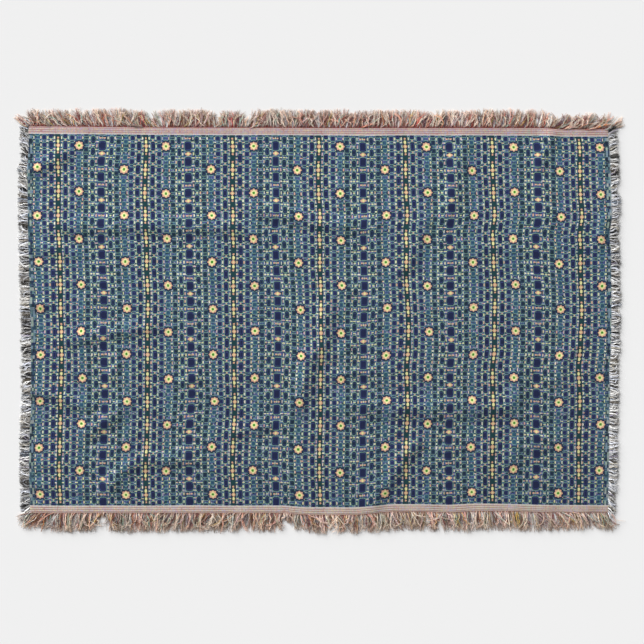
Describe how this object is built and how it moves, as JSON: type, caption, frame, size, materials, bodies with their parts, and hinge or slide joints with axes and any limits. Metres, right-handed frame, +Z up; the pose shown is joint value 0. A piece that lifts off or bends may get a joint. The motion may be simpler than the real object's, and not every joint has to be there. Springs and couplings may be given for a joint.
{
  "type": "printed blanket",
  "caption": "Woven throw blanket laid out flat, with plain headings, soft creases and yarn fringe along all its edges.",
  "frame": {"origin": "on the floor, under the middle of the laid-out blanket's outline", "axes": "+X along the long side, +Y across towards the top edge of the pattern, +Z up from the floor through the patterned face"},
  "size_m": [1.3672, 0.9592, 0.0103],
  "materials": {
    "woven_cotton": "matt jacquard weave",
    "warp_yarn": "matt loose yarn, mixed colours",
    "weft_yarn": "matt loose yarn, pale and dark"
  },
  "bodies": {
    "root": {"cloth": "woven_cotton", "fringe_top": "warp_yarn", "fringe_bottom": "warp_yarn", "fringe_left": "weft_yarn", "fringe_right": "weft_yarn"}
  },
  "joints": []
}
